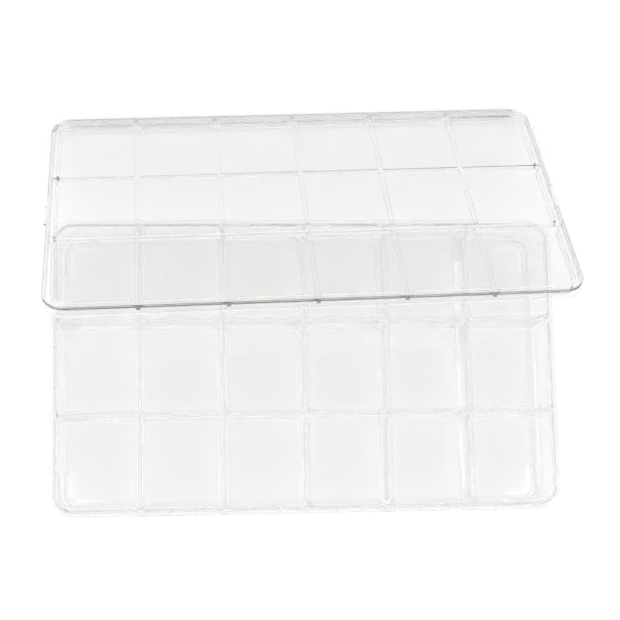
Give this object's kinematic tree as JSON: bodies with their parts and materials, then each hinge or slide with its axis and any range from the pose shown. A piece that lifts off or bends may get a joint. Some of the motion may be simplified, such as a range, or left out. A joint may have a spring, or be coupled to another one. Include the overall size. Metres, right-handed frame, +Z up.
{
  "type": "paint palette box",
  "caption": "Clear moulded paint palette box: a shallow tray divided into rectangular wells, and a loose lift-off lid with sealing ribs, shown taken off and tilted behind the tray.",
  "frame": {"origin": "centre of the underside of the tray's floor; the feet reach 1.2 mm below it", "axes": "+Z up out of the wells, +X along the tray's long side, +Y towards the taken-off lid"},
  "size_m": [0.2482, 0.2072, 0.092],
  "materials": {
    "clear_tray": "clear injection-moulded polystyrene, polished, slightly white at rounded edges",
    "clear_lid": "clear injection-moulded polystyrene, polished, thin and glass-like"
  },
  "bodies": {
    "tray": {"well_tray": "clear_tray"},
    "lid": {"lift_off_lid": "clear_lid"}
  },
  "joints": [
    {"name": "lid_lift", "type": "slide", "parent": "tray", "child": "lid", "axis": [0, 0, 1], "range_m": [0, 0.08]}
  ]
}
